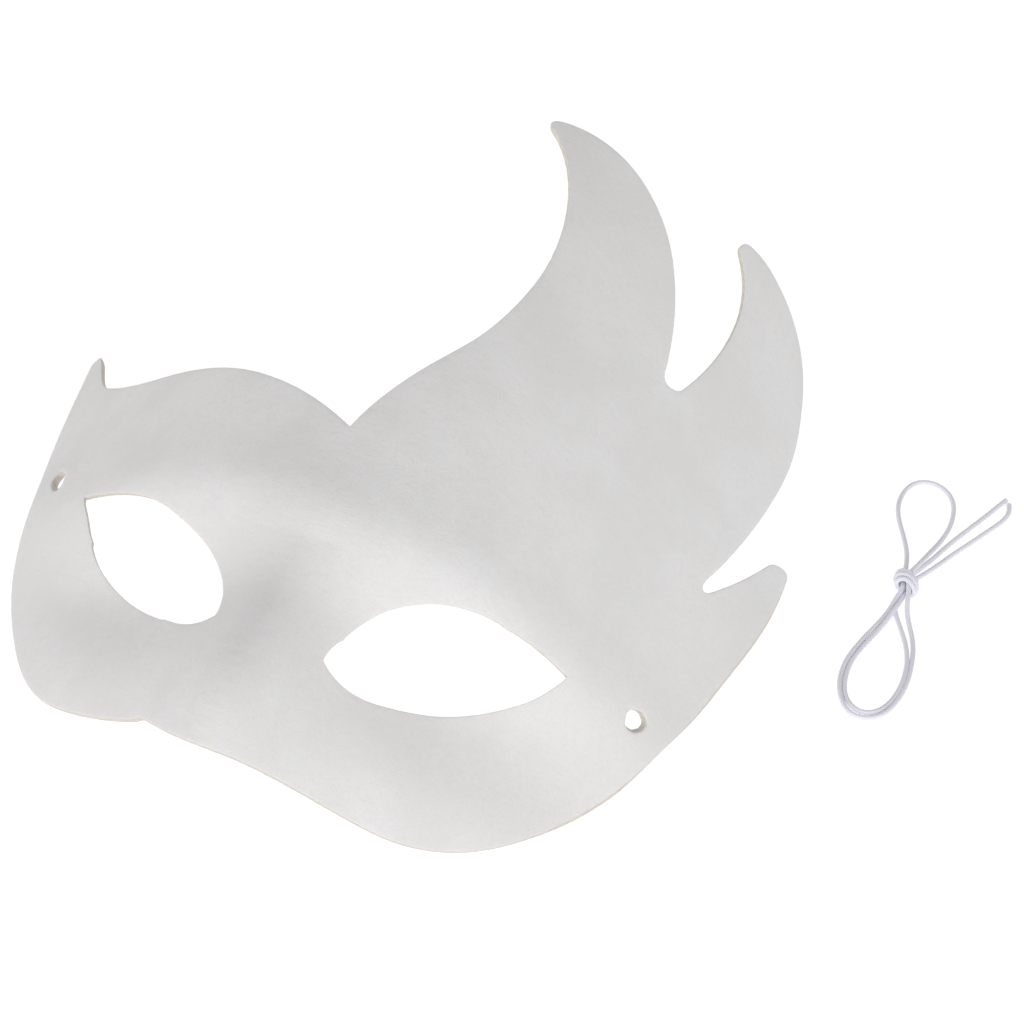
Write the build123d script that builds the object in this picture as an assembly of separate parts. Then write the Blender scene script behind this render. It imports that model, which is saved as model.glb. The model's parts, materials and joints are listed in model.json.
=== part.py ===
from build123d import *
import os
from math import exp, pi, radians, sqrt, tan

# Blank half mask of moulded paper pulp, lying face up, with its loose round elastic.
# Millimetres. The face frame: x to the right, y to the forehead, z out of the face, its origin on
# the bridge between the eyes. The mask then leans back onto its horn tips and its cheek edges.

# Wall
WALL = 1.5                    # thickness of the pulp
LIE_ANGLE = 19.0              # degrees that the face leans to stand on a table

# Wrap round the head: a hyperbola across the face
WRAP_DEPTH = 100.0
WRAP_WIDTH = 62.0

# Forehead and flames fall back above the brow, cheeks below it
BROW_Y = 17.0
FOREHEAD_SLOPE = 0.30
FOREHEAD_BEND = 40.0
CHEEK_CURVE = 0.004

# Nose: height, where it starts and is full, its half width at both ends
NOSE_HEIGHT = 19.0
NOSE_TOP_Y = 12.0
NOSE_TIP_Y = -36.0
NOSE_TOP_WIDTH = 7.0
NOSE_TIP_WIDTH = 11.0

# Eye sockets and the brow ridge
SOCKET_DEPTH = 8.0
SOCKET_X = 33.0
SOCKET_Y = -2.0
SOCKET_WIDTH = 20.0
SOCKET_HEIGHT = 11.0
RIDGE_HEIGHT = 2.0
RIDGE_Y = 18.0
RIDGE_WIDTH = 8.0

# Temple holes for the elastic, punched square to the wall
HOLE_RADIUS = 2.6
HOLES = {"right": (68.9, 19.5), "left": (-68.6, 25.5)}
PUNCH_LENGTH = 12.0

# Height range of the block that the outline cuts from the moulded sheet
BLOCK_FROM = -130.0
BLOCK_TO = 30.0

# Outline, from the notch over the brow clockwise. Each stretch is a smooth edge, each tip and
# valley a round that runs on smoothly from the stretches beside it.
FLAME_1_INNER = [(-2.5, 39), (1, 50), (6, 61), (11.5, 72.5), (15, 85), (16.5, 98), (15.1, 113),
                 (11.3, 124.7), (4.9, 134.3), (2.8, 136.3)]
FLAME_1_TIP = [(1.8, 138)]
FLAME_1_OUTER = [(4.3, 139.7), (12, 139.8), (20, 137.8), (27.8, 133), (34, 126.5), (39.5, 117),
                 (43, 107.5), (45.6, 96)]
FLAME_1_VALLEY = [(46.1, 93.6), (47.3, 92.4), (48.9, 92.7)]
FLAME_2_INNER = [(50.4, 95.5), (52.6, 106), (53.4, 116), (52.1, 127.8), (49.7, 133.9),
                 (47.6, 137.2)]
FLAME_2_TIP = [(47.3, 139.7)]
FLAME_2_OUTER = [(49.4, 141), (52.8, 140.4), (56.5, 138.5), (62.5, 133.4), (68, 125),
                 (71.8, 114), (74, 102), (74.1, 90), (73, 78), (71.2, 67), (69.4, 58.6)]
FLAME_2_VALLEY = [(69.9, 56.4)]
HORN_INNER = [(71.1, 57.5), (73.7, 62.7), (76, 68), (78.3, 74.2)]
HORN_TIP = [(79.3, 76.2), (81.8, 77.2)]
RIGHT_EDGE = [(82.8, 75.2), (82.9, 68), (82.2, 58), (80.4, 45), (78, 30.3), (75, 17.5),
              (71.2, 7), (66.2, -3.3), (60, -13.6), (52.8, -23), (44.4, -29.8), (36, -33.4),
              (26.4, -34.9), (17.9, -36.2), (9.4, -38.8), (0.5, -41), (-8, -38.9), (-13.4, -35.9),
              (-17, -34)]
LEFT_EDGE = [(-19, -34), (-28, -33.1), (-36.5, -31.7), (-45, -28.7), (-52, -23.3), (-59.5, -14),
             (-65.7, -3.8), (-70.1, 7.3), (-73, 21), (-76.2, 33.5), (-79.4, 48), (-81.6, 59.5),
             (-83, 66.5)]
LEFT_TIP = [(-82.8, 68.9), (-81.8, 69.8)]
LEFT_HORN = [(-80.8, 68.8), (-78, 64.2), (-75, 59.3), (-71.5, 55.4)]
LEFT_LOBE = [(-71.5, 55.4), (-65.5, 53.3), (-58, 52.6), (-49.5, 53), (-41.8, 52.6), (-33, 51),
             (-24.4, 48.4), (-13.2, 44.1), (-2.5, 39)]

# Eye openings, from the inner corner over the top
RIGHT_EYE_TOP = [(12.8, -10.1), (12.9, -7.5), (14.2, -3), (17.5, 3.8), (23, 9.3), (30.2, 13.5),
                 (37.7, 15.9), (45.6, 16.8), (54, 16.2)]
RIGHT_EYE_LOWER = [(54, 16.2), (51, 9.7), (45.7, 3.8), (39.7, -1.5), (33.3, -6.3), (26.4, -10.1),
                   (19, -12.3), (15.8, -11.8), (12.8, -10.1)]
LEFT_EYE_TOP = [(-11.1, -9.6), (-12.4, -3.6), (-16, 2.2), (-22, 7.5), (-28.9, 11.5), (-36.1, 15),
                (-45.6, 17.6), (-56, 18.3)]
LEFT_EYE_LOWER = [(-56, 18.3), (-52.7, 12.2), (-48.5, 5.8), (-42.4, 0.1), (-35.9, -4.3),
                  (-28.8, -8), (-21.2, -10.5), (-14.5, -11.2), (-11.1, -9.6)]

# Elastic: round braid, folded into a small hank on the table and tied in a wrapped knot.
# Its frame is the finished part's own: z is the height over the table. A point with no height
# lies on the table.
ELASTIC_RADIUS = 0.6
KNOT = (107, 53.8, 2.5)
KNOT_TURN = 17.0              # degrees, leftwards as it goes back
KNOT_RADIUS = 2.5
KNOT_LENGTH = 6.0
KNOT_ROUNDING = 1.4
ELASTIC_ROUTES = {
    "elastic_tail_1": [
        (107, 56.2, 2.2), (108.4, 60.2, 1.7), (109.8, 65, 0.8), (111.4, 70.4), (113.4, 75.8),
        (115.4, 80.8), (117.2, 85.4), (118.4, 88.9), (119.5, 91.6)],
    "elastic_lower_loop_1": [
        (107.9, 51.9, 3.5), (108.9, 49, 3.1), (109.7, 46.4, 1.8), (111.3, 43, 0.8), (113.5, 38.6),
        (115.2, 33.8), (116.3, 28.8), (116.5, 24.4), (116.2, 20.9), (115.4, 17.5), (114, 14.5),
        (111.8, 12.4), (109, 11.8), (106.2, 12.5), (104.1, 14.7), (102.8, 17.6), (102, 20.8),
        (101.7, 24.4), (101.8, 29.4), (102.7, 34.6), (104, 39.8), (105.2, 44.2, 0.8),
        (105.9, 48, 1.6), (106.9, 52, 2.3)],
    "elastic_upper_loop": [
        (105.7, 56.2, 2.3), (105.1, 60, 1.6), (104, 64.4, 0.8), (101.8, 69), (99.4, 73.2),
        (97.8, 77), (97.2, 81), (97.8, 85.4), (99.9, 88.3), (103.2, 89.2), (106.6, 87.9),
        (109, 84.8), (110.1, 80.6), (110.4, 75.8), (109.7, 70.6, 0.8), (108.9, 65.6, 2.1),
        (108.2, 60.6, 3.3), (107, 56, 3.7)],
    "elastic_lower_loop_2": [
        (107.4, 52, 1), (107, 47.6), (106.3, 42.6), (105.1, 37.8), (104, 33), (103.2, 28),
        (103, 24), (103.4, 20.6), (104.1, 18), (105, 15.9), (106.9, 14.3), (109.2, 13.8),
        (111.4, 14.5), (113.1, 16.2), (114.1, 18.6), (114.8, 21.6), (115.1, 25), (114.9, 28.8),
        (113.9, 32.8), (112.3, 36.6), (110.5, 40), (109, 43, 0.7), (108.2, 46.6, 1.4),
        (107.9, 51, 2)],
    "elastic_tail_2": [
        (107.8, 55.6, 1.4), (109.6, 59.6, 0.9), (111.6, 64.2), (113.7, 69.2), (116.2, 74.4),
        (118.3, 79.2), (120.2, 83.2), (121.2, 86.4), (121.2, 88.8), (120.5, 90.5)],
}

# Grid that the moulded surface is passed through
GRID_X = [-94 + 4 * i for i in range(48)]
GRID_Y = [-50 + 5 * i for i in range(41)]


def front_height(x, y):
    """Height of the outer surface over the face frame's x, y plane."""
    wrap = WRAP_DEPTH * (sqrt(1 + (x / WRAP_WIDTH) ** 2) - 1)
    above = y - BROW_Y
    if above > 0:
        fall = FOREHEAD_SLOPE * (sqrt(above ** 2 + FOREHEAD_BEND ** 2) - FOREHEAD_BEND)
    else:
        fall = CHEEK_CURVE * above ** 2
    down = (NOSE_TOP_Y - y) / (NOSE_TOP_Y - NOSE_TIP_Y)
    down = min(max(down, 0), 1.2)
    rise = 0.5 * down + 0.5 * down ** 2 * (3 - 2 * down) if down < 1 else 0.5 + 0.5 * down
    width = NOSE_TOP_WIDTH + (NOSE_TIP_WIDTH - NOSE_TOP_WIDTH) * down
    nose = NOSE_HEIGHT * rise * exp(-0.5 * (x / width) ** 2)
    across = (abs(x) - SOCKET_X) / SOCKET_WIDTH
    along = (y - SOCKET_Y) / SOCKET_HEIGHT
    socket = SOCKET_DEPTH * exp(-0.5 * (across ** 2 + along ** 2))
    ridge = RIDGE_HEIGHT * exp(-0.5 * ((y - RIDGE_Y) / RIDGE_WIDTH) ** 2)
    return nose + ridge - wrap - fall - socket


def wall_normal(x, y):
    """Outward direction, square to the wall."""
    step = 0.5
    slope_x = (front_height(x + step, y) - front_height(x - step, y)) / (2 * step)
    slope_y = (front_height(x, y + step) - front_height(x, y - step)) / (2 * step)
    return Vector(-slope_x, -slope_y, 1).normalized()


def wall_point(x, y, depth):
    """A point of the wall, depth below its outer surface."""
    return Vector(x, y, front_height(x, y)) - wall_normal(x, y) * depth


def moulded_sheet():
    """The pulp sheet before it is trimmed: two smooth surfaces a wall apart."""
    skins = []
    for depth in (0, WALL):
        grid = [[wall_point(x, y, depth) for y in GRID_Y] for x in GRID_X]
        skins.append(Face.make_surface_from_array_of_points(grid, tol=0.03, min_deg=3, max_deg=3))
    return skins


def tip(before, points, after):
    """Round that leaves one stretch and meets the next without a kink."""
    return Spline([before @ 1, *points, after @ 0], tangents=(before % 1, after % 0))


def outline():
    """The trimmed edge seen from the front."""
    flame_1_inner = Spline(FLAME_1_INNER)
    flame_1_outer = Spline(FLAME_1_OUTER)
    flame_2_inner = Spline(FLAME_2_INNER)
    flame_2_outer = Spline(FLAME_2_OUTER)
    horn_inner = Spline(HORN_INNER)
    right_edge = Spline(RIGHT_EDGE)
    left_edge = Spline(LEFT_EDGE)
    left_horn = Spline(LEFT_HORN)
    return Wire([
        flame_1_inner, tip(flame_1_inner, FLAME_1_TIP, flame_1_outer),
        flame_1_outer, tip(flame_1_outer, FLAME_1_VALLEY, flame_2_inner),
        flame_2_inner, tip(flame_2_inner, FLAME_2_TIP, flame_2_outer),
        flame_2_outer, tip(flame_2_outer, FLAME_2_VALLEY, horn_inner),
        horn_inner, tip(horn_inner, HORN_TIP, right_edge),
        right_edge, Line(right_edge @ 1, left_edge @ 0),
        left_edge, tip(left_edge, LEFT_TIP, left_horn),
        left_horn, Spline(LEFT_LOBE),
    ])


def trimmed_shell():
    """The moulded sheet with its outline and eye openings cut through from the front."""
    right_eye = Wire([Spline(RIGHT_EYE_TOP), Spline(RIGHT_EYE_LOWER)])
    left_eye = Wire([Spline(LEFT_EYE_TOP), Spline(LEFT_EYE_LOWER)])
    face = Face(outline(), [right_eye, left_eye])
    front, back = moulded_sheet()
    block = extrude(Pos(Z=BLOCK_FROM) * face, BLOCK_TO - BLOCK_FROM, dir=(0, 0, 1))
    return block.split(front, keep=Keep.BOTTOM).split(back, keep=Keep.TOP)


def hole_plane(place):
    """Plane at mid wall, square to the wall, at a temple hole."""
    return Plane(wall_point(*place, WALL / 2), z_dir=wall_normal(*place))


def mask_shell():
    shell = trimmed_shell()
    for place in HOLES.values():
        shell -= hole_plane(place) * Cylinder(HOLE_RADIUS, PUNCH_LENGTH)
    return shell


def corner_radii(route):
    """The largest tangent arc at each corner, 0.45 of the shorter run beside it."""
    radii = []
    for before, corner, after in zip(route, route[1:], route[2:]):
        run_in = Vector(corner) - Vector(before)
        run_out = Vector(after) - Vector(corner)
        half_turn = radians(run_in.get_angle(run_out)) / 2
        radii.append(0.45 * min(run_in.length, run_out.length) / tan(half_turn))
    return radii


def elastic_tube(name):
    """One stretch of the elastic outside its knot."""
    route = [(*point, ELASTIC_RADIUS)[:3] for point in ELASTIC_ROUTES[name]]
    radii = corner_radii(route)
    path = FilletPolyline(*route, radius=radii)
    tube = sweep(Plane(path @ 0, z_dir=path % 0) * Circle(ELASTIC_RADIUS), path)
    section = pi * ELASTIC_RADIUS ** 2
    share = tube.volume / section / path.length
    print(f"{name}: length {path.length:.1f}, volume {share:.3f} of section times length")
    print("  radii", [round(r, 1) for r in radii])
    return tube


def elastic_knot():
    """Outer shape of the wrapped knot: a short barrel lying on the table."""
    barrel = Cylinder(KNOT_RADIUS, KNOT_LENGTH)
    barrel = fillet(barrel.edges(), KNOT_ROUNDING)
    return Pos(*KNOT) * Rot(Z=KNOT_TURN) * Rot(X=90) * barrel


def main():
    os.makedirs("parts", exist_ok=True)
    lean = Rot(X=LIE_ANGLE)
    leaning = lean * mask_shell()
    box = leaning.bounding_box()
    stand = Pos(-box.center().X, -box.center().Y, -box.min.Z)
    nodes = {"mask_shell": stand * leaning, "elastic_knot": elastic_knot()}
    for name in ELASTIC_ROUTES:
        nodes[name] = elastic_tube(name)
    for name, place in HOLES.items():
        hole = stand * lean * hole_plane(place).location
        print(name, "hole at", hole.position, "axis", Plane(hole).z_dir)
    print("face origin at", (stand * lean).position)
    for name, solid in nodes.items():
        solid.label = name
        export_step(solid, f"parts/{name}.step")


main()
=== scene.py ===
import json
from collections import namedtuple
from math import cos, pi, radians, sin

import bmesh
import bpy
import numpy as np
from mathutils import Matrix, Vector, noise
from mathutils.geometry import delaunay_2d_cdt
from mathutils.kdtree import KDTree


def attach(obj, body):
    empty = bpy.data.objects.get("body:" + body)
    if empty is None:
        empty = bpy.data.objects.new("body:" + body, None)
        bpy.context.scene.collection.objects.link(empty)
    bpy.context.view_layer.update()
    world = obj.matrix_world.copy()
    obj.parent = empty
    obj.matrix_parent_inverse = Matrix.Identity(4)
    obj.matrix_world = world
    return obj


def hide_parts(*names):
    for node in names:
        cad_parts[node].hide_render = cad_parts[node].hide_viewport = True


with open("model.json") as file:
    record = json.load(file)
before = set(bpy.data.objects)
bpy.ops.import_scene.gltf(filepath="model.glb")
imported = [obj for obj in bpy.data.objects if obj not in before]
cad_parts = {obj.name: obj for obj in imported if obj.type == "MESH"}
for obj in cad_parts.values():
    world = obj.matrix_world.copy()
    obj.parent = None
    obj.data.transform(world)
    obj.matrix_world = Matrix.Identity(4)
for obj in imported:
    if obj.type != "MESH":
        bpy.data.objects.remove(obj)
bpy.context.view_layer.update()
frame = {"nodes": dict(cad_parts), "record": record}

MM = 0.001

# ---------------------------------------------------------------- camera
CAMERA_TARGET = Vector((0.01946, 0.03579, -0.00016))
CAMERA_DISTANCE = 0.89527
CAMERA_AZIMUTH = radians(15.406)
CAMERA_ELEVATION = radians(44.044)
CAMERA_ROLL = radians(8.616)
SENSOR = 36.0
LENS = 140.625
CLIP_NEAR = 0.05
CLIP_FAR = 50


def add_camera():
    data = bpy.data.cameras.new("camera")
    data.sensor_width = SENSOR
    data.lens = LENS
    data.clip_start = CLIP_NEAR
    data.clip_end = CLIP_FAR
    camera = bpy.data.objects.new("camera", data)
    bpy.context.scene.collection.objects.link(camera)
    level = cos(CAMERA_ELEVATION)
    back = Vector((sin(CAMERA_AZIMUTH) * level, -cos(CAMERA_AZIMUTH) * level, sin(CAMERA_ELEVATION)))
    right = Vector((cos(CAMERA_AZIMUTH), sin(CAMERA_AZIMUTH), 0))
    up = back.cross(right)
    rolled_right = cos(CAMERA_ROLL) * right + sin(CAMERA_ROLL) * up
    rolled_up = cos(CAMERA_ROLL) * up - sin(CAMERA_ROLL) * right
    turn = Matrix((rolled_right, rolled_up, back)).transposed()
    camera.matrix_world = Matrix.Translation(CAMERA_TARGET + back * CAMERA_DISTANCE) @ turn.to_4x4()
    bpy.context.scene.camera = camera


# ---------------------------------------------------------------- elastic: route
# One line from cut end to cut end, in metres. A point with no height lies on the table.
ELASTIC_DIAMETER = 0.0012
TAIL_1 = [
    (0.1195, 0.0916), (0.1184, 0.0889), (0.1172, 0.0854), (0.1154, 0.0808), (0.1134, 0.0758),
    (0.1114, 0.0704), (0.1098, 0.0650, 0.0008), (0.1084, 0.0602, 0.0017),
    (0.1070, 0.0562, 0.0022)]
LOWER_LOOP_1 = [
    (0.1079, 0.0519, 0.0035), (0.1087, 0.0486, 0.0030), (0.1096, 0.0456, 0.0018),
    (0.1112, 0.0428, 0.0008), (0.1131, 0.0394), (0.1146, 0.0352), (0.1155, 0.0306),
    (0.1161, 0.0258), (0.1159, 0.0210), (0.1151, 0.0170), (0.1136, 0.0138), (0.1112, 0.0117),
    (0.1084, 0.0113), (0.1060, 0.0126), (0.1041, 0.0153), (0.1026, 0.0188), (0.1019, 0.0230),
    (0.1019, 0.0272), (0.1027, 0.0318), (0.1038, 0.0366), (0.1050, 0.0410),
    (0.1058, 0.0446, 0.0009), (0.1062, 0.0480, 0.0018), (0.1068, 0.0517, 0.0025)]
UPPER_LOOP = [
    (0.1057, 0.0562, 0.0023), (0.1051, 0.0600, 0.0016), (0.1040, 0.0644, 0.0008),
    (0.1018, 0.0690), (0.0994, 0.0732), (0.0978, 0.0770), (0.0972, 0.0810), (0.0978, 0.0854),
    (0.0999, 0.0883), (0.1032, 0.0892), (0.1066, 0.0879), (0.1090, 0.0848), (0.1101, 0.0806),
    (0.1104, 0.0758), (0.1097, 0.0706, 0.0008), (0.1089, 0.0656, 0.0021),
    (0.1082, 0.0606, 0.0033), (0.1070, 0.0560, 0.0037)]
LOWER_LOOP_2 = [
    (0.1075, 0.0518, 0.0014), (0.1075, 0.0486, 0.0020), (0.1070, 0.0448, 0.0019),
    (0.1062, 0.0410, 0.0010), (0.1050, 0.0362), (0.1038, 0.0316), (0.1030, 0.0272),
    (0.1030, 0.0232), (0.1036, 0.0195), (0.1048, 0.0162), (0.1067, 0.0138, 0.0008),
    (0.1089, 0.0127, 0.0009), (0.1111, 0.0131, 0.0009), (0.1130, 0.0150, 0.0008),
    (0.1143, 0.0180), (0.1150, 0.0216), (0.1151, 0.0256), (0.1147, 0.0294), (0.1140, 0.0326),
    (0.1126, 0.0362), (0.1108, 0.0394), (0.1089, 0.0424), (0.1073, 0.0450),
    (0.1065, 0.0478, 0.0007), (0.1068, 0.0505, 0.0013)]
TAIL_2 = [
    (0.1078, 0.0556, 0.0014), (0.1096, 0.0596, 0.0009), (0.1116, 0.0642), (0.1137, 0.0692),
    (0.1162, 0.0744), (0.1183, 0.0792), (0.1202, 0.0832), (0.1212, 0.0864), (0.1212, 0.0888),
    (0.1205, 0.0905)]

# Knot: three strands run along its axis and the elastic is wound round them
KNOT_CENTRE = Vector((0.1067, 0.0538, 0.0028))
KNOT_TURN = radians(17)
KNOT_ALONG = Vector((-sin(KNOT_TURN), cos(KNOT_TURN), 0))
KNOT_ACROSS = Vector((cos(KNOT_TURN), sin(KNOT_TURN), 0))
KNOT_UP = Vector((0, 0, 1))
CORE_RADIUS = 0.0008
WRAP_RADIUS = 0.0024          # in the middle of the knot
WRAP_ENDS = 0.0017            # where the turns start and stop
WRAP_PITCH = 0.0012
WRAP_TILT = 0.0018
WRAP_TILT_LEFT = 0.3          # share of the tilt on the mask's side
WRAP_FROM = 62
WRAP_TO = -1175
WRAP_STEP = 25
WRAP_TOP = 0.0018


def knot_point(across, along, up):
    return KNOT_CENTRE + KNOT_ACROSS * across + KNOT_ALONG * along + KNOT_UP * up


def core_strand(angle):
    """Middle of a strand that passes through the knot."""
    turn = radians(angle)
    return [knot_point(CORE_RADIUS * cos(turn), 0, CORE_RADIUS * sin(turn))]


def wraps():
    """The turns round the knot, tilted more on the side away from the mask."""
    points = []
    for angle in range(WRAP_FROM, WRAP_TO, -WRAP_STEP):
        across = cos(radians(angle))
        lean = WRAP_TILT * (across if across > 0 else WRAP_TILT_LEFT * across)
        along = WRAP_TOP - WRAP_PITCH * (WRAP_FROM - angle) / 360 - lean
        middle = sin(pi * (WRAP_FROM - angle) / (WRAP_FROM - WRAP_TO))
        radius = WRAP_ENDS + (WRAP_RADIUS - WRAP_ENDS) * middle
        points.append(knot_point(radius * across, along, radius * sin(radians(angle))))
    return points


def on_table(points):
    return [Vector((*p, ELASTIC_DIAMETER / 2)[:3]) for p in points]


def elastic_route():
    return (on_table(TAIL_1) + core_strand(90) + on_table(LOWER_LOOP_1) + core_strand(210)
            + on_table(UPPER_LOOP) + wraps() + on_table(LOWER_LOOP_2) + core_strand(330)
            + on_table(TAIL_2))


def elastic_line():
    """Points along the smooth line that the elastic follows."""
    data = bpy.data.curves.new("elastic_line", "CURVE")
    data.dimensions = "3D"
    data.resolution_u = 16
    spline = data.splines.new("NURBS")
    route = elastic_route()
    spline.points.add(len(route) - 1)
    for point, place in zip(spline.points, route):
        point.co = (*place, 1)
    spline.order_u = 3
    spline.use_endpoint_u = True
    curve = bpy.data.objects.new("elastic_line", data)
    line = bpy.data.meshes.new_from_object(curve)
    points = np.array([v.co for v in line.vertices])
    bpy.data.objects.remove(curve)
    return points


# ---------------------------------------------------------------- elastic: braid
RING_STEP = 0.00014
RING_SIDES = 28
BRAID_STRANDS = 6             # ridges round the elastic in each direction
BRAID_PITCH = 0.0011          # along the elastic, between ridges
BRAID_RELIEF = 0.00013
BRAID_WEAVE = 0.35            # how much lower a ridge lies where it goes under
CAP_BULGE = 0.00008
FRAY_LENGTH = 0.0009          # over which a cut end flares
FRAY_FLARE = 0.12
ELASTIC_NODES = ("elastic_knot", "elastic_tail_1", "elastic_tail_2", "elastic_upper_loop",
                 "elastic_lower_loop_1", "elastic_lower_loop_2")


def even_steps(points, step):
    """The line again with points a step apart."""
    runs = np.linalg.norm(np.diff(points, axis=0), axis=1)
    at = np.concatenate([[0], np.cumsum(runs)])
    wanted = np.linspace(0, at[-1], int(at[-1] / step) + 1)
    return wanted, np.stack([np.interp(wanted, at, points[:, k]) for k in range(3)], axis=1)


def unit(vectors):
    return vectors / np.linalg.norm(vectors, axis=-1, keepdims=True)


def carried_frames(line):
    """Two directions across the line at each point, turning as little as they can."""
    ahead = unit(np.gradient(line, axis=0))
    side = np.cross(ahead[0], (0, 0, 1))
    sides = []
    for direction in ahead:
        side = side - direction * side.dot(direction)
        side = side / np.linalg.norm(side)
        sides.append(side)
    sides = np.array(sides)
    return sides, np.cross(ahead, sides)


def braid_height(turn, along):
    """Relief of two sets of crossing ridges, 0 in the grooves to 1."""
    one = np.cos(BRAID_STRANDS * turn / 2 + pi * along / BRAID_PITCH)
    other = np.cos(BRAID_STRANDS * turn / 2 - pi * along / BRAID_PITCH)
    over = 0.5 + 0.5 * np.sin(BRAID_STRANDS * turn) * np.sin(2 * pi * along / BRAID_PITCH)
    under = BRAID_WEAVE * (1 - over)
    return np.maximum(one ** 2 * (1 - under), other ** 2 * (1 - BRAID_WEAVE * over))


def ring_faces(rings, sides):
    faces = []
    for ring in range(rings - 1):
        for side in range(sides):
            after = (side + 1) % sides
            low, high = ring * sides, (ring + 1) * sides
            faces.append((low + side, low + after, high + after, high + side))
    return faces


def new_piece(name, points, faces, material):
    mesh = bpy.data.meshes.new(name)
    mesh.from_pydata([tuple(p) for p in points], [], faces)
    mesh.shade_smooth()
    mesh.materials.append(material)
    piece = bpy.data.objects.new(name, mesh)
    bpy.context.scene.collection.objects.link(piece)
    return piece


def mark(piece, name, values):
    layer = piece.data.attributes.new(name, "FLOAT", "POINT")
    layer.data.foreach_set("value", np.asarray(values, dtype=np.float32))


def add_elastic():
    line = elastic_line()
    along, middle = even_steps(line, RING_STEP)
    side, up = carried_frames(middle)
    turn = np.linspace(0, 2 * pi, RING_SIDES, endpoint=False)
    height = braid_height(turn[None, :], along[:, None])
    to_end = np.minimum(along, along[-1] - along)
    flare = 1 + FRAY_FLARE * np.exp(-to_end / FRAY_LENGTH)
    radius = (ELASTIC_DIAMETER / 2 - BRAID_RELIEF * (1 - height)) * flare[:, None]
    points = (middle[:, None] + side[:, None] * (radius * np.cos(turn))[..., None]
              + up[:, None] * (radius * np.sin(turn))[..., None]).reshape(-1, 3)
    rings = len(middle)
    faces = ring_faces(rings, RING_SIDES)
    caps = np.array([middle[0] + CAP_BULGE * unit(middle[1] - middle[0]),
                     middle[-1] - CAP_BULGE * unit(middle[-1] - middle[-2])])
    last = (rings - 1) * RING_SIDES
    for k in range(RING_SIDES):
        after = (k + 1) % RING_SIDES
        faces.append((len(points), after, k))
        faces.append((len(points) + 1, last + k, last + after))
    points = np.concatenate([points, caps])
    points[:, 2] = np.maximum(points[:, 2], 0)
    cord = new_piece("elastic_cord", points, faces, elastic_material())
    mark(cord, "ridge", np.concatenate([height.reshape(-1), [0, 0]]))
    mark(cord, "cut_end", np.concatenate([np.repeat(np.exp(-to_end / FRAY_LENGTH), RING_SIDES), [1, 1]]))
    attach(cord, "elastic")
    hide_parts(*ELASTIC_NODES)


# ---------------------------------------------------------------- mask: moulded surface
# Millimetres in the face frame: x to the right, y to the forehead, z out of the face.
WALL = 1.5
LIE_ANGLE = radians(19)
WRAP_DEPTH = 100.0
WRAP_WIDTH = 62.0
BROW_Y = 17.0
FOREHEAD_SLOPE = 0.30
FOREHEAD_BEND = 40.0
CHEEK_CURVE = 0.004
NOSE_HEIGHT = 19.0
NOSE_TOP_Y = 12.0
NOSE_TIP_Y = -36.0
NOSE_RUN_OUT = 1.2            # the nose goes on below its tip, in lengths of itself
NOSE_TOP_WIDTH = 7.0
NOSE_TIP_WIDTH = 11.0
SOCKET_DEPTH = 8.0
SOCKET_X = 33.0
SOCKET_Y = -2.0
SOCKET_WIDTH = 20.0
SOCKET_HEIGHT = 11.0
RIDGE_HEIGHT = 2.0
RIDGE_Y = 18.0
RIDGE_WIDTH = 8.0
RIGHT_HOLE = (68.9, 19.5)


def front_height(x, y):
    """Height of the outer surface over the face frame's x, y plane."""
    wrap = WRAP_DEPTH * (np.sqrt(1 + (x / WRAP_WIDTH) ** 2) - 1)
    above = y - BROW_Y
    forehead = FOREHEAD_SLOPE * (np.sqrt(above ** 2 + FOREHEAD_BEND ** 2) - FOREHEAD_BEND)
    fall = np.where(above > 0, forehead, CHEEK_CURVE * above ** 2)
    down = np.clip((NOSE_TOP_Y - y) / (NOSE_TOP_Y - NOSE_TIP_Y), 0, NOSE_RUN_OUT)
    bulge = 0.5 * down + 0.5 * down ** 2 * (3 - 2 * down)
    rise = np.where(down < 1, bulge, 0.5 + 0.5 * down)
    width = NOSE_TOP_WIDTH + (NOSE_TIP_WIDTH - NOSE_TOP_WIDTH) * down
    nose = NOSE_HEIGHT * rise * np.exp(-0.5 * (x / width) ** 2)
    across = (np.abs(x) - SOCKET_X) / SOCKET_WIDTH
    along = (y - SOCKET_Y) / SOCKET_HEIGHT
    socket = SOCKET_DEPTH * np.exp(-0.5 * (across ** 2 + along ** 2))
    ridge = RIDGE_HEIGHT * np.exp(-0.5 * ((y - RIDGE_Y) / RIDGE_WIDTH) ** 2)
    return nose + ridge - wrap - fall - socket


def wall_normals(x, y):
    step = 0.5
    slope_x = (front_height(x + step, y) - front_height(x - step, y)) / (2 * step)
    slope_y = (front_height(x, y + step) - front_height(x, y - step)) / (2 * step)
    return unit(np.stack([-slope_x, -slope_y, np.ones_like(x)], axis=-1))


def lean_matrix():
    return np.array([[1, 0, 0], [0, cos(LIE_ANGLE), -sin(LIE_ANGLE)],
                     [0, sin(LIE_ANGLE), cos(LIE_ANGLE)]])


def face_origin():
    """Where the face frame's origin is on the table, in mm, from the temple hole's mount."""
    mounts = {m["name"]: m for m in frame["record"]["mounts"]}
    x, y = (np.array(v) for v in RIGHT_HOLE)
    hole = np.array([x, y, front_height(x, y)]) - wall_normals(x, y) * WALL / 2
    return np.array(mounts["temple_hole_right"]["pos_m"]) / MM - lean_matrix() @ hole


LEAN = lean_matrix()
ORIGIN = face_origin()


def to_row(points):
    return (points @ LEAN.T + ORIGIN) * MM


def to_face(points):
    return (points / MM - ORIGIN) @ LEAN


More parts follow.
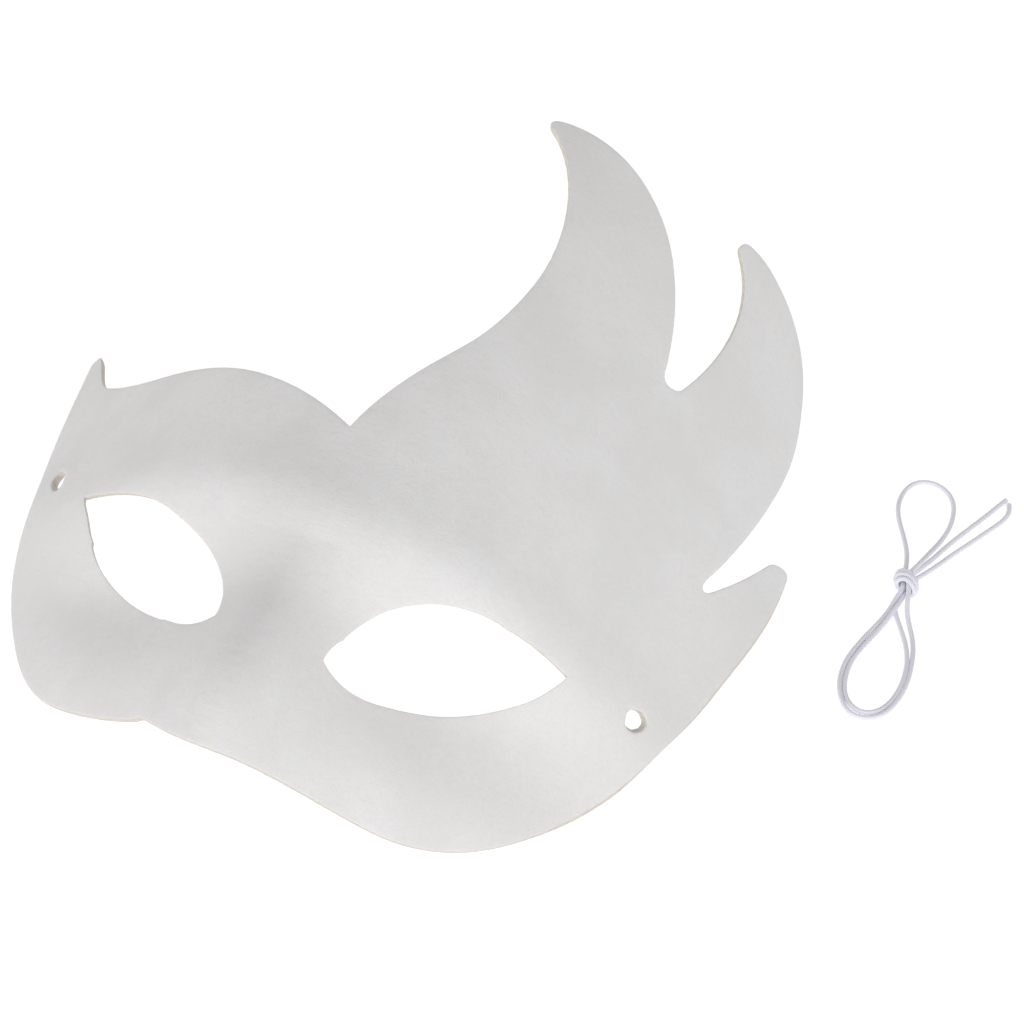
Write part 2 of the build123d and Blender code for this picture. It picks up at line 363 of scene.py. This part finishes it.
# ---------------------------------------------------------------- mask: cut edges
EDGE_SPACING = 0.5
NEAREST_KEPT = 0.3            # tessellation points closer than this are dropped
CORNER = radians(45)          # a sharper turn than this stays sharp
WELD = 1e-6                   # points closer than this are one point
HOLE_LOOP = 20.0              # loops shorter than this are the temple holes
CUT_LEAN = 0.5                # how far the knife is square to the wall
FRONT_ROUND = 0.3
TABLE_FADE = (1.5, 7.0)       # heights between which the cut turns upright to meet the table
UNDERCUT = 0.35               # how far the back of an eye opening's cut lies under the front
# The punched holes' own shape over the drill's: stretch, move, and rise to the back
RIGHT_HOLE_FORM = (((1.12, 0.162), (0.162, 1.032)), (-0.12, -0.64), 0.5)
LEFT_HOLE_FORM = (((1.05, -0.38), (-0.38, 1.3)), (0, 0.6), 0.5)
HOLE_TAPER = 0.15             # narrowing of the punched holes to the back
HOLE_ROUND = 0.5
TORN = 0.09                   # unevenness of the punched holes
TEAR_WAVES = ((2, 1.0), (3, 0.7), (7, 0.5))           # waves round the hole and their share
# Slips of the knife at the eye openings: place, direction along the edge, size, reach before
# and after
NICKS = [((14.2, -3.4), (0.5, 0.8), 0.2, 0.8, 0.2), ((40.5, 16.4), (1, 0.2), 0.25, 0.3, 3.5),
         ((-49.6, 7.9), (0.4, -0.9), 0.34, 1.8, 0.25), ((-23.5, -9.9), (1, -0.2), 0.2, 0.3, 3.0)]
NICK_RANGE = 12               # a nick moves nothing further away than this
# Eye corners that reach further out than the CAD's: place, move, reach
CORNER_PULLS = [((-56, 18.3), (-0.9, 0), 5.0), ((54, 16.2), (0.4, 0), 3.0)]

# square: 0 cuts along the face, 1 square to the wall; shift: how far the back is out of line
Edge = namedtuple("Edge", "loop square shift rounding")


def cad_edge_loops():
    """The edges of the CAD shell's outer surface, as loops of face-frame points."""
    mesh = bmesh.new()
    mesh.from_mesh(frame["nodes"]["mask_shell"].data)
    bmesh.ops.remove_doubles(mesh, verts=mesh.verts, dist=WELD)
    places = to_face(np.array([v.co for v in mesh.verts]))
    outer = front_height(places[:, 0], places[:, 1]) - places[:, 2] < WALL / 2
    beside = {}
    for edge in mesh.edges:
        sides = [all(outer[v.index] for v in f.verts) for f in edge.link_faces]
        if sorted(sides) == [False, True]:
            one, other = (v.index for v in edge.verts)
            beside.setdefault(one, []).append(other)
            beside.setdefault(other, []).append(one)
    mesh.free()
    loops = []
    while beside:
        at = min(beside)
        loop = []
        while at is not None:
            loop.append(at)
            at = next((v for v in beside.pop(at) if v in beside), None)
        loops.append(places[loop][:, :2])
    return loops


def shoelace(loop):
    x, y = loop.T
    return 0.5 * np.sum(x * np.roll(y, -1) - y * np.roll(x, -1))


def thinned(loop):
    """The loop without points that crowd the one before."""
    kept = [loop[0]]
    for point in loop[1:]:
        if np.linalg.norm(point - kept[-1]) > NEAREST_KEPT:
            kept.append(point)
    if np.linalg.norm(kept[-1] - kept[0]) < NEAREST_KEPT:
        kept.pop()
    return np.array(kept)


def smooth_run(points, spacing, closed=False):
    """Evenly spaced points of a smooth line through these, without the last."""
    if closed:
        points = np.concatenate([points[-1:], points, points[:2]])
    steps = np.linalg.norm(np.diff(points, axis=0), axis=1)
    slopes = np.diff(points, axis=0) / steps[:, None]
    inner = ((slopes[:-1] * steps[1:, None] + slopes[1:] * steps[:-1, None])
             / (steps[:-1] + steps[1:])[:, None])
    first = (3 * slopes[0] - inner[0]) / 2
    last = (3 * slopes[-1] - inner[-1]) / 2
    tangents = np.concatenate([[first], inner, [last]])
    if closed:
        points, steps, tangents = points[1:-1], steps[1:-1], tangents[1:-1]
    at = np.concatenate([[0], np.cumsum(steps)])
    wanted = np.linspace(0, at[-1], max(2, round(at[-1] / spacing)), endpoint=False)
    k = np.clip(np.searchsorted(at, wanted, side="right") - 1, 0, len(steps) - 1)
    t = ((wanted - at[k]) / steps[k])[:, None]
    h = steps[k][:, None]
    return (points[k] * (1 + 2 * t) * (1 - t) ** 2 + points[k + 1] * t ** 2 * (3 - 2 * t)
            + tangents[k] * h * t * (1 - t) ** 2 - tangents[k + 1] * h * t ** 2 * (1 - t))


def smoothed(loop, spacing):
    """The loop evenly spaced on a smooth line, with its sharp corners kept."""
    loop = thinned(loop)
    ahead = unit(np.roll(loop, -1, axis=0) - loop)
    before = np.roll(ahead, 1, axis=0)
    turn = np.arccos(np.clip((ahead * before).sum(axis=1), -1, 1))
    corners = list(np.where(turn > CORNER)[0])
    if not corners:
        return smooth_run(loop, spacing, closed=True)
    runs = []
    for k, corner in enumerate(corners):
        following = corners[(k + 1) % len(corners)]
        count = (following - corner) % len(loop) or len(loop)
        runs.append(smooth_run(loop[(corner + np.arange(count + 1)) % len(loop)], spacing))
    return np.concatenate(runs)


def outward(loop):
    """Directions out of the wall, right of a loop that has the wall on its left."""
    ahead = unit(np.roll(loop, -1, axis=0) - np.roll(loop, 1, axis=0))
    return np.stack([ahead[:, 1], -ahead[:, 0]], axis=1)


def with_nicks(loop):
    out = outward(loop)
    for place, direction, size, before, after in NICKS:
        offset = loop - np.array(place)
        along = offset @ unit(np.array(direction))
        near = np.linalg.norm(offset, axis=1) < NICK_RANGE
        reach = np.where(along < 0, before, after)
        loop = loop + out * (near * size * np.exp(-(along / reach) ** 2))[:, None]
    return loop


def with_tears(loop, seed):
    """A punched hole's edge, a little uneven all round."""
    centre = loop.mean(axis=0)
    angle = np.arctan2(*(loop - centre).T[::-1])
    wave = sum(share * np.cos(count * angle + (k + 1) * seed)
               for k, (count, share) in enumerate(TEAR_WAVES))
    return loop + outward(loop) * (TORN * wave)[:, None]


def with_pulled_corners(loop):
    for place, move, reach in CORNER_PULLS:
        near = np.exp(-(np.linalg.norm(loop - place, axis=1) / reach) ** 2)
        loop = loop + near[:, None] * move
    return loop


def punched_hole(loop, seed):
    centre = loop.mean(axis=0)
    stretch, move, rise = RIGHT_HOLE_FORM if centre[0] > 0 else LEFT_HOLE_FORM
    loop = with_tears(centre + (loop - centre) @ np.array(stretch) + move, seed)
    shift = np.column_stack([(centre + move - loop) * HOLE_TAPER + (0, rise), loop[:, 0] * 0])
    return Edge(loop, 1.0, shift, HOLE_ROUND)


def eye_opening(loop):
    loop = with_pulled_corners(loop)
    shift = np.column_stack([-UNDERCUT * outward(loop), loop[:, 0] * 0])
    return Edge(with_nicks(loop), CUT_LEAN, shift, FRONT_ROUND)


def edge_loops():
    """Even loops with the wall on their left: the outline, the eyes and the temple holes."""
    edges = []
    for seed, loop in enumerate(sorted(cad_edge_loops(), key=len, reverse=True)):
        length = np.linalg.norm(np.roll(loop, -1, axis=0) - loop, axis=1).sum()
        is_outline = seed == 0
        if (shoelace(loop) > 0) != is_outline:
            loop = loop[::-1]
        if length < HOLE_LOOP:
            edges.append(punched_hole(smoothed(loop, EDGE_SPACING / 1.5), seed))
        elif is_outline:
            loop = smoothed(loop, EDGE_SPACING)
            edges.append(Edge(loop, CUT_LEAN, np.zeros((len(loop), 3)), FRONT_ROUND))
        else:
            edges.append(eye_opening(smoothed(loop, EDGE_SPACING)))
    return edges


# ---------------------------------------------------------------- mask: skins and rims
SKIN_GRID = 1.0               # between points of the skins' triangles
CLEAR_OF_EDGE = 0.55
BACK_ROUND = 0.28
ROUND_STEPS = 3
CUT_STEPS = 5
EDGE_BLEND = 5.0              # width beside the edge over which the inside follows the cut
SWELLS = ((26.0, 0.16), (9.0, 0.05), (3.2, 0.016))    # size and height of the wall's unevenness
INSIDE_SWELLS = ((18.0, 0.2), (5.0, 0.1), (2.4, 0.05))
CUT_FUZZ = ((1.1, 0.05), (0.45, 0.03))
SWELL_SHIFT = (17.3, 5.1)     # apart from each other, so that the unevennesses differ
EDGE_TINT = 0.5               # how much of the cut's colour the front rounding starts with: painted shade on the rounded front edge


def swell(points, layers, seed):
    """Uneven heights over the points."""
    total = np.zeros(len(points))
    for size, height in layers:
        shift = Vector((seed * SWELL_SHIFT[0], seed * SWELL_SHIFT[1], 0))
        total += height * np.array([noise.noise(Vector(p) / size + shift) for p in points])
    return total


def smoothstep(value, low, high):
    t = np.clip((value - low) / (high - low), 0, 1)
    return t * t * (3 - 2 * t)


def on_front(flat):
    return np.column_stack([flat, front_height(flat[:, 0], flat[:, 1])])


def through_wall(flat, lean):
    """From the front edge to the back edge, along the cut."""
    normals = wall_normals(flat[:, 0], flat[:, 1])
    height = to_row(on_front(flat))[:, 2] / MM
    lean = lean * np.where(lean < 1, smoothstep(height, *TABLE_FADE), 1)
    cut = unit(normals * lean[:, None] + np.array((0, 0, 1)) * (1 - lean)[:, None])
    return -cut * WALL / (cut * normals).sum(axis=1)[:, None]


def inside(flat, loops):
    """Which points are in the wall: an odd number of loop edges lie to their right."""
    odd = np.zeros(len(flat), bool)
    x, y = flat[:, :1], flat[:, 1:]
    for loop in loops:
        (x1, y1), (x2, y2) = loop.T, np.roll(loop, -1, axis=0).T
        with np.errstate(divide="ignore", invalid="ignore"):
            cross = (y1 > y) != (y2 > y)
            hit = cross & (x < x1 + (y - y1) * (x2 - x1) / (y2 - y1))
        odd ^= hit.sum(axis=1) % 2 == 1
    return odd


def grid_points(loops):
    edge = np.concatenate(loops)
    low, high = edge.min(axis=0), edge.max(axis=0)
    x, y = np.meshgrid(np.arange(low[0], high[0], SKIN_GRID), np.arange(low[1], high[1], SKIN_GRID))
    x = x + SKIN_GRID / 2 * (np.arange(len(x)) % 2)[:, None]
    flat = np.column_stack([x.ravel(), y.ravel()])
    flat = flat[inside(flat, loops)]
    tree = KDTree(len(edge))
    for k, point in enumerate(edge):
        tree.insert((*point, 0), k)
    tree.balance()
    nearest = [tree.find((*p, 0)) for p in flat]
    return flat[np.array([n[2] for n in nearest]) > CLEAR_OF_EDGE], tree


def skin_triangles(loops, flat):
    """Triangles over the loops' points and then the grid's."""
    ring_edges = []
    start = 0
    for loop in loops:
        ids = np.arange(len(loop))
        ring_edges += [(int(start + a), int(start + b)) for a, b in zip(ids, np.roll(ids, -1))]
        start += len(loop)
    points = np.concatenate([*loops, flat])
    made = delaunay_2d_cdt([Vector(p) for p in points], ring_edges, [], 0, WELD)
    assert len(made[0]) == len(points), "the edge loops cross"
    triangles = np.array([f for f in made[2] if len(f) == 3])
    return triangles[inside(points[triangles].mean(axis=1), loops)]


def rim_profile(edge, cut, out, rounding):
    """Rows of points from the front skin's border over the cut to the back skin's border."""
    depth = np.linalg.norm(cut, axis=1)[:, None]
    front_end = edge + cut / depth * rounding
    back_start = edge + cut * (1 - BACK_ROUND / depth)
    rows = []
    for k in range(1, ROUND_STEPS + 1):
        t = k / ROUND_STEPS
        inset = edge - out * rounding
        rows.append(inset * (1 - t) ** 2 + edge * 2 * t * (1 - t) + front_end * t ** 2)
    for k in range(1, CUT_STEPS):
        rows.append(front_end + (back_start - front_end) * k / CUT_STEPS)
    for k in range(ROUND_STEPS):
        t = k / ROUND_STEPS
        inset = edge + cut - out * BACK_ROUND
        rows.append(back_start * (1 - t) ** 2 + (edge + cut) * 2 * t * (1 - t) + inset * t ** 2)
    return rows


def rim_lines(edge_of):
    """Round one edge: the front edge, the way through the wall and the way out of it."""
    flat = edge_of.loop
    edge = on_front(flat)
    ahead = unit(np.roll(edge, -1, axis=0) - np.roll(edge, 1, axis=0))
    out = unit(np.cross(ahead, wall_normals(flat[:, 0], flat[:, 1])))
    cut = through_wall(flat, np.full(len(flat), edge_of.square)) + edge_of.shift
    return edge, cut, out


def skin_points(edges, flat, tree):
    """The outer skin, the inner skin, and how far the wall swells out at each point."""
    nearest = [tree.find((*p, 0)) for p in flat]
    beside = [n[1] for n in nearest]
    lean = np.concatenate([np.full(len(e.loop), e.square) for e in edges])[beside]
    shift = np.concatenate([e.shift for e in edges])[beside]
    beside_edge = 1 - smoothstep(np.array([n[2] for n in nearest]), 0, EDGE_BLEND)
    normals = wall_normals(flat[:, 0], flat[:, 1])
    rise = swell(np.column_stack([flat, flat[:, 0] * 0]), SWELLS, 1)
    hollow = swell(np.column_stack([flat, flat[:, 0] * 0]), INSIDE_SWELLS, 2)
    level = on_front(flat)
    follow = through_wall(flat, lean) + normals * WALL + shift
    front = level + normals * rise[:, None]
    back = (level - normals * WALL + follow * beside_edge[:, None]
            + normals * (hollow * (1 - beside_edge) + rise * beside_edge)[:, None])
    return front, back, normals * rise[:, None]


def rim_skins(edges, rims, lift, count):
    """Points, cut colour with painted shade, and faces from the outer skin's borders round to the inner
    skin's.
    """
    points, tints, faces = [], [], []
    start, rim_start = 0, 2 * count
    for edge_of, (edge, cut, out) in zip(edges, rims):
        size = len(edge)
        rows = rim_profile(edge, cut, out, edge_of.rounding)
        ids = [np.arange(start, start + size)]
        for k, row in enumerate(rows):
            wave = swell(row, CUT_FUZZ, 3)
            # the cut's tan, with painted shade on the rounded front edge, starts part way over the
            # rounding and is full on the cut
            on_cut = min(1, EDGE_TINT + k * (1 - EDGE_TINT) / (ROUND_STEPS - 1))
            points.append(row + lift[start:start + size] + out * (wave * on_cut)[:, None])
            tints.append(np.full(size, on_cut))
            ids.append(rim_start + k * size + np.arange(size))
        ids.append(np.arange(start, start + size) + count)
        for upper, lower in zip(ids, ids[1:]):
            after_upper, after_lower = np.roll(upper, -1), np.roll(lower, -1)
            faces += [tuple(int(v) for v in quad)
                      for quad in zip(upper, lower, after_lower, after_upper)]
        start += size
        rim_start += len(rows) * size
    return points, tints, faces


def add_mask():
    edges = edge_loops()
    rims = [rim_lines(edge_of) for edge_of in edges]
    borders = [(edge - out * e.rounding)[:, :2] for e, (edge, _, out) in zip(edges, rims)]
    grid, tree = grid_points(borders)
    triangles = skin_triangles(borders, grid)
    front, back, lift = skin_points(edges, np.concatenate([*borders, grid]), tree)
    count = len(front)
    rim_points, tints, rim_faces = rim_skins(edges, rims, lift, count)
    faces = [tuple(int(v) for v in t) for t in triangles]
    faces += [(t[2] + count, t[1] + count, t[0] + count) for t in faces]
    place = to_row(np.concatenate([front, back, *rim_points]))
    place[:, 2] = np.maximum(place[:, 2], 0)
    mask = new_piece("mask_pulp", place, faces + rim_faces, pulp_material())
    # 0 on the skins, rising over the rims: how much of the cut's tan and painted shade each point takes
    mark(mask, "cut_and_shade", np.concatenate([np.zeros(2 * count), *tints]))
    inside_values = np.zeros(len(place))
    inside_values[count:2 * count] = 1
    mark(mask, "inside", inside_values)
    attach(mask, "mask")
    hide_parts("mask_shell")


# ---------------------------------------------------------------- materials
class Nodes:
    """Short calls for building a node tree."""

    def __init__(self, tree):
        self.tree = tree

    def add(self, kind, **settings):
        node = self.tree.nodes.new(kind)
        for name, value in settings.items():
            setattr(node, name, value)
        return node

    def feed(self, socket, value):
        if isinstance(value, bpy.types.NodeSocket):
            self.tree.links.new(value, socket)
        else:
            socket.default_value = value

    def math(self, operation, one, other=0.0, clamp=False):
        node = self.add("ShaderNodeMath", operation=operation, use_clamp=clamp)
        self.feed(node.inputs[0], one)
        self.feed(node.inputs[1], other)
        return node.outputs[0]

    def noise(self, place, scale, detail=2.0, rough=0.5):
        node = self.add("ShaderNodeTexNoise")
        self.feed(node.inputs["Vector"], place)
        node.inputs["Scale"].default_value = scale
        node.inputs["Detail"].default_value = detail
        node.inputs["Roughness"].default_value = rough
        return node.outputs["Fac"]

    def stretched(self, place, turn, scale):
        node = self.add("ShaderNodeMapping")
        self.feed(node.inputs["Vector"], place)
        node.inputs["Rotation"].default_value = turn
        node.inputs["Scale"].default_value = scale
        return node.outputs["Vector"]

    def ramp(self, value, low, high, to_low=0.0, to_high=1.0):
        node = self.add("ShaderNodeMapRange")
        node.interpolation_type = "SMOOTHSTEP"
        self.feed(node.inputs["Value"], value)
        node.inputs["From Min"].default_value = low
        node.inputs["From Max"].default_value = high
        node.inputs["To Min"].default_value = to_low
        node.inputs["To Max"].default_value = to_high
        return node.outputs["Result"]

    def mix(self, amount, one, other):
        node = self.add("ShaderNodeMix", data_type="RGBA")
        self.feed(node.inputs["Factor"], amount)
        self.feed(node.inputs["A"], one)
        self.feed(node.inputs["B"], other)
        return node.outputs["Result"]

    def bump(self, height, distance, strength, below=None):
        node = self.add("ShaderNodeBump")
        self.feed(node.inputs["Height"], height)
        node.inputs["Distance"].default_value = distance
        node.inputs["Strength"].default_value = strength
        if below is not None:
            self.feed(node.inputs["Normal"], below)
        return node.outputs["Normal"]

    def attribute(self, name):
        return self.add("ShaderNodeAttribute", attribute_name=name).outputs["Fac"]


def new_material(name):
    material = bpy.data.materials.new(name)
    material.use_nodes = True
    nodes = Nodes(material.node_tree)
    shader = material.node_tree.nodes["Principled BSDF"]
    place = nodes.add("ShaderNodeTexCoord").outputs["Object"]
    return material, nodes, shader, place


PULP_LIGHT = (0.815, 0.810, 0.812, 1)
PULP_DARK = (0.772, 0.768, 0.765, 1)
PULP_WARM = (0.800, 0.782, 0.762, 1)
PULP_FIBRE = (0.700, 0.690, 0.670, 1)
PULP_STREAK = (0.750, 0.738, 0.722, 1)
STREAK_TURN = (0.2, 0.3, 0.75)
# The cut's tan: partly the pulp's own colour at the cut, partly painted shade on the cut wall and the
# rounded front edge
PULP_CUT_AND_SHADE = (0.560, 0.515, 0.440, 1)
PULP_CUT_AND_SHADE_PALE = (0.700, 0.660, 0.590, 1)
FIBRE_TURNS = (0.3, 1.3, 2.4)
FIBRE_TILT = (0.2, 0.35)
FIBRE_SCALE = (420, 3600, 3600)
FIBRE_SHARE = 0.34
STREAK_SCALE = (60, 900, 900)
LAYER_TURN = (0.33, 0, 0)
LAYER_SCALE = (500, 500, 5200)
CLOUD_SCALE = 48
WARM_SCALE = 22
LUMP_SCALE = 620
COARSE_SCALE = 900
FELT_SCALE = 2600
# Reliefs: height in metres and strength
LUMP_RELIEF = (0.00016, 0.4)
COARSE_RELIEF = (0.0003, 0.6)
FIBRE_RELIEF = (0.00005, 0.5)
FELT_RELIEF = (0.00008, 0.5)


def pulp_material():
    material, nodes, shader, place = new_material("pulp")
    clouds = nodes.ramp(nodes.noise(place, CLOUD_SCALE, 3, 0.55), 0.35, 0.65)
    warm = nodes.ramp(nodes.noise(place, WARM_SCALE, 2, 0.5), 0.45, 0.75, 0, 0.5)
    color = nodes.mix(clouds, PULP_DARK, PULP_LIGHT)
    color = nodes.mix(warm, color, PULP_WARM)
    fibres = None
    for turn in FIBRE_TURNS:
        strokes = nodes.noise(nodes.stretched(place, (*FIBRE_TILT, turn), FIBRE_SCALE), 1, 2, 0.6)
        strokes = nodes.ramp(strokes, 0.58, 0.74)
        fibres = strokes if fibres is None else nodes.math("MAXIMUM", fibres, strokes)
    color = nodes.mix(nodes.math("MULTIPLY", fibres, FIBRE_SHARE), color, PULP_FIBRE)
    streaks = nodes.ramp(nodes.noise(nodes.stretched(place, STREAK_TURN, STREAK_SCALE), 1, 3, 0.6),
                         0.45, 0.7, 0, 0.35)
    color = nodes.mix(streaks, color, PULP_STREAK)
    # Tan on the cut walls and the rounded front edges: partly the cut's own colour, partly painted shade
    cut = nodes.attribute("cut_and_shade")
    layers = nodes.noise(nodes.stretched(place, LAYER_TURN, LAYER_SCALE), 1, 2, 0.6)
    cut_and_shade_color = nodes.mix(nodes.ramp(layers, 0.4, 0.65), PULP_CUT_AND_SHADE, PULP_CUT_AND_SHADE_PALE)
    color = nodes.mix(nodes.ramp(cut, 0.3, 1.0, 0, 0.9), color, cut_and_shade_color)
    nodes.feed(shader.inputs["Base Color"], color)
    felt = nodes.noise(place, FELT_SCALE, 3, 0.65)
    lumps = nodes.noise(place, LUMP_SCALE, 2, 0.5)
    inner = nodes.attribute("inside")
    nodes.feed(shader.inputs["Roughness"], nodes.ramp(felt, 0.3, 0.7, 0.84, 0.97))
    shader.inputs["Specular IOR Level"].default_value = 0.25
    shader.inputs["Sheen Weight"].default_value = 0.08
    shader.inputs["Sheen Roughness"].default_value = 0.6
    relief = nodes.bump(lumps, *LUMP_RELIEF)
    coarse = nodes.noise(place, COARSE_SCALE, 3, 0.6)
    relief = nodes.bump(nodes.math("MULTIPLY", coarse, inner), *COARSE_RELIEF, relief)
    relief = nodes.bump(fibres, *FIBRE_RELIEF, relief)
    relief = nodes.bump(felt, *FELT_RELIEF, relief)
    nodes.feed(shader.inputs["Normal"], relief)
    return material


# Ridge colour, and painted shade in the braid's grooves
ELASTIC_LIGHT = (0.860, 0.860, 0.930, 1)
ELASTIC_GROOVE_SHADE = (0.640, 0.640, 0.740, 1)
ELASTIC_WARM = (0.870, 0.850, 0.890, 1)
RUBBER = (0.640, 0.600, 0.520, 1)
PATCH_SCALE = 160
THREAD_SCALE = 9000
THREAD_RELIEF = (0.00003, 0.4)


def elastic_material():
    material, nodes, shader, place = new_material("elastic_braid")
    ridge = nodes.attribute("ridge")
    # Painted shade: darker colour in the grooves between the braid's ridges
    color = nodes.mix(nodes.ramp(ridge, 0.1, 0.7), ELASTIC_GROOVE_SHADE, ELASTIC_LIGHT)
    patches = nodes.ramp(nodes.noise(place, PATCH_SCALE, 2, 0.5), 0.4, 0.7, 0, 0.5)
    color = nodes.mix(patches, color, ELASTIC_WARM)
    end = nodes.ramp(nodes.attribute("cut_end"), 0.93, 1.0)
    color = nodes.mix(end, color, RUBBER)
    nodes.feed(shader.inputs["Base Color"], color)
    thread = nodes.noise(place, THREAD_SCALE, 2, 0.6)
    nodes.feed(shader.inputs["Roughness"], nodes.ramp(thread, 0.3, 0.7, 0.62, 0.82))
    shader.inputs["Sheen Weight"].default_value = 0.25
    shader.inputs["Sheen Roughness"].default_value = 0.5
    nodes.feed(shader.inputs["Normal"], nodes.bump(thread, *THREAD_RELIEF))
    return material


# ---------------------------------------------------------------- stage
FLOOR_SIZE = 8
FLOOR_GLOW = 0.85
FLOOR_TONE = 0.25
SKY_EVEN = 0.90               # radiance from every side
SKY_FRONT = 0.80              # more of it low down on the chin's side
SKY_TOP = -0.46               # less of it overhead
SKY_BACK = -0.42              # and less behind the forehead
SKY_COLOR = (1.0, 0.99, 0.988, 1)
SOFTBOX_PLACE = Vector((0.36, -0.14, 0.32))
SOFTBOX_AIM = Vector((0.0, -0.02, 0.02))
SOFTBOX_SIZE = 0.3
SOFTBOX_POWER = 0.20
SOFTBOX_COLOR = (0.96, 0.985, 1.0)


def add_floor():
    bpy.ops.mesh.primitive_plane_add(size=FLOOR_SIZE)
    floor = bpy.context.object
    floor.name = "floor"
    material, nodes, shader, place = new_material("floor")
    tone = nodes.noise(place, 3, 2, 0.5)
    nodes.feed(shader.inputs["Base Color"],
               nodes.mix(tone, (FLOOR_TONE,) * 3 + (1,), (FLOOR_TONE + 0.01,) * 3 + (1,)))
    shader.inputs["Roughness"].default_value = 0.9
    shader.inputs["Emission Color"].default_value = (1, 1, 1, 1)
    shader.inputs["Emission Strength"].default_value = FLOOR_GLOW
    floor.data.materials.append(material)


def add_world():
    """Soft studio light: a sky brighter on the side of the chin, darker overhead and behind."""
    world = bpy.data.worlds.new("studio")
    world.use_nodes = True
    nodes = Nodes(world.node_tree)
    direction = nodes.add("ShaderNodeTexCoord").outputs["Generated"]
    split = nodes.add("ShaderNodeSeparateXYZ")
    nodes.feed(split.inputs[0], direction)
    toward = nodes.math("MULTIPLY", split.outputs["Y"], -1.0, clamp=True)
    front = nodes.math("MULTIPLY", toward, SKY_FRONT)
    overhead = nodes.math("MULTIPLY", nodes.math("MULTIPLY", split.outputs["Z"], 1.0, clamp=True), SKY_TOP)
    behind = nodes.math("MULTIPLY", nodes.math("MULTIPLY", split.outputs["Y"], 1.0, clamp=True), SKY_BACK)
    slanted = nodes.math("ADD", nodes.math("ADD", front, overhead), behind)
    strength = nodes.math("ADD", slanted, SKY_EVEN)
    background = world.node_tree.nodes["Background"]
    background.inputs["Color"].default_value = SKY_COLOR
    nodes.feed(background.inputs["Strength"], strength)
    bpy.context.scene.world = world
    bpy.context.scene.view_settings.view_transform = "Standard"


def add_softbox():
    """A weak near light on the right, so that brightness falls off over the mask."""
    data = bpy.data.lights.new("softbox", "AREA")
    data.size = SOFTBOX_SIZE
    data.energy = SOFTBOX_POWER
    data.color = SOFTBOX_COLOR
    softbox = bpy.data.objects.new("softbox", data)
    softbox.location = SOFTBOX_PLACE
    softbox.rotation_euler = (SOFTBOX_AIM - SOFTBOX_PLACE).to_track_quat("-Z", "Y").to_euler()
    bpy.context.scene.collection.objects.link(softbox)


add_camera()
add_elastic()
add_mask()
add_floor()
add_world()
add_softbox()
